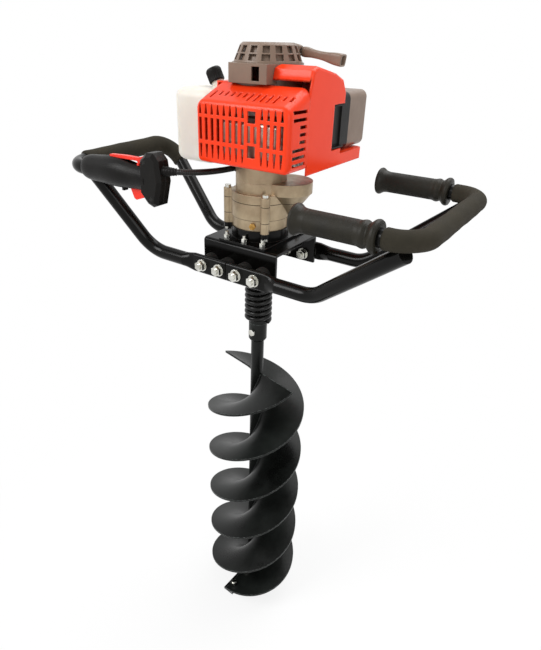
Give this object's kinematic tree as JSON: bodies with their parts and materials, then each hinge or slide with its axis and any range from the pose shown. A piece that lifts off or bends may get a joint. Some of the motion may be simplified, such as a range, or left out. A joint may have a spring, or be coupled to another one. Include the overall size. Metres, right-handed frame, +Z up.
{
  "type": "earth auger",
  "caption": "Engine-driven earth auger: a double-start helical bit under a reduction gearbox and two-stroke engine, in a bent tube frame with rubber grips and a throttle grip.",
  "frame": {"origin": "tip of the centre point, on the drilling axis", "axes": "+Z up along the drilling axis, +X towards the handle with the two rubber grips, -Y towards the muffler guard"},
  "size_m": [0.6791, 0.3262, 1.204],
  "materials": {
    "bit_black": "satin black paint with worn edges",
    "blade_steel": "hardened steel",
    "zinc_steel": "bright zinc plate",
    "spring_black": "satin black paint",
    "ground_steel": "machined",
    "frame_black": "gloss black powder coat",
    "buffer_rubber": "moulded rubber",
    "grip_rubber": "knurled rubber",
    "foam": "closed foam",
    "black_plastic": "fine grain",
    "control_red": "moulded",
    "dark_screw": "blackened",
    "conduit_black": "ribbed conduit",
    "cast_case": "sand-blasted casting",
    "brass": "machined",
    "cast_aluminium": "casting",
    "plug_ceramic": "glazed",
    "muffler_steel": "heat stained",
    "red_cover": "glossy moulded",
    "grey_plastic": "satin moulded",
    "reel_plastic": "moulded",
    "rope": "braided",
    "tank_white": "translucent white"
  },
  "bodies": {
    "frame": {"frame_bolts": "zinc_steel", "frame_nuts": "zinc_steel", "gearbox_bolts": "zinc_steel", "bearings": "ground_steel", "channel_bracket": "frame_black", "left_handle_tube": "frame_black", "right_handle_tube": "frame_black", "support_legs": "frame_black", "mounting_flange": "frame_black", "rubber_buffers": "buffer_rubber", "rubber_grips": "grip_rubber", "left_foam_sleeve": "foam", "right_foam_sleeve": "foam", "throttle_housing_front": "black_plastic", "throttle_housing_back": "black_plastic", "conduit_clip": "black_plastic", "air_cleaner_base": "black_plastic", "throttle_screws": "dark_screw", "throttle_conduit": "conduit_black", "lower_case": "cast_case", "middle_case": "cast_case", "upper_case": "cast_case", "clutch_housing": "cast_case", "crankcase": "cast_case", "brass_plug": "brass", "cylinder": "cast_aluminium", "piston_and_rod": "cast_aluminium", "carburettor": "cast_aluminium", "spark_plug": "plug_ceramic", "muffler": "muffler_steel", "muffler_guard": "red_cover", "engine_shroud": "red_cover", "fan_housing": "grey_plastic", "starter_cover": "grey_plastic", "air_cleaner_cover": "grey_plastic", "fuel_tank": "tank_white"},
    "auger": {"bit_flights": "bit_black", "bit_shaft": "bit_black", "cutting_blades": "blade_steel", "blade_bolts": "zinc_steel", "centre_point": "blade_steel", "bit_collar": "bit_black", "cross_bolt": "zinc_steel", "damper_spring": "spring_black", "spring_hub": "spring_black", "output_shaft": "ground_steel", "output_gear": "ground_steel"},
    "layshaft": {"layshaft": "ground_steel"},
    "clutch_drum": {"clutch_drum": "ground_steel"},
    "crank": {"crankshaft": "ground_steel", "clutch_shoes": "ground_steel", "flywheel": "cast_aluminium"},
    "starter_pull": {"starter_handle": "grey_plastic", "starter_rope": "rope"},
    "recoil_reel": {"recoil_reel": "reel_plastic"},
    "throttle_trigger": {"throttle_trigger": "control_red"},
    "lock_lever": {"lock_lever": "control_red"},
    "stop_switch": {"stop_switch": "black_plastic"},
    "choke_lever": {"choke_lever": "black_plastic"},
    "fuel_cap": {"fuel_cap": "black_plastic"}
  },
  "joints": [
    {"name": "bit_spin", "type": "hinge", "parent": "frame", "child": "auger", "pos_m": [0, 0, 0.5], "axis": [0, 0, 1], "continuous": true},
    {"name": "layshaft_spin", "type": "hinge", "parent": "frame", "child": "layshaft", "pos_m": [0.03898, 0.01986, 0.95], "axis": [0, 0, 1], "continuous": true},
    {"name": "clutch_drum_spin", "type": "hinge", "parent": "frame", "child": "clutch_drum", "pos_m": [0, 0, 1.01], "axis": [0, 0, 1], "continuous": true},
    {"name": "crank_spin", "type": "hinge", "parent": "frame", "child": "crank", "pos_m": [0, 0, 1.066], "axis": [0, 0, 1], "continuous": true},
    {"name": "starter_pull", "type": "slide", "parent": "frame", "child": "starter_pull", "axis": [0.9889, 0, -0.1483], "range_m": [0, 0.7], "stiffness_N_per_m": 20},
    {"name": "recoil_reel_spin", "type": "hinge", "parent": "frame", "child": "recoil_reel", "pos_m": [0, 0, 1.187], "axis": [0, 0, 1], "range_deg": [-1500, 0]},
    {"name": "trigger_pull", "type": "hinge", "parent": "frame", "child": "throttle_trigger", "pos_m": [-0.127, -0.14, 1.004], "axis": [0, 1, 0], "range_deg": [0, 14], "stiffness_Nm_per_rad": 0.4},
    {"name": "lock_press", "type": "hinge", "parent": "frame", "child": "lock_lever", "pos_m": [-0.132, -0.14, 1.029], "axis": [0, 1, 0], "range_deg": [-6, 0], "stiffness_Nm_per_rad": 0.4},
    {"name": "stop_slide", "type": "slide", "parent": "frame", "child": "stop_switch", "axis": [1, 0, 0], "range_m": [0, 0.005]},
    {"name": "choke_swing", "type": "hinge", "parent": "frame", "child": "choke_lever", "pos_m": [0.034, 0.084, 1.066], "axis": [1, 0, 0], "range_deg": [-75, 0]},
    {"name": "cap_turn", "type": "hinge", "parent": "frame", "child": "fuel_cap", "pos_m": [-0.086, 0, 1.134], "axis": [-0.4695, 0, 0.8829], "range_deg": [0, 360]}
  ],
  "couplings": [
    {"joint": "layshaft_spin", "follows": "bit_spin", "ratio": -6.7778},
    {"joint": "clutch_drum_spin", "follows": "bit_spin", "ratio": 40.667},
    {"joint": "recoil_reel_spin", "follows": "starter_pull", "rad_per_m": -37.037}
  ]
}
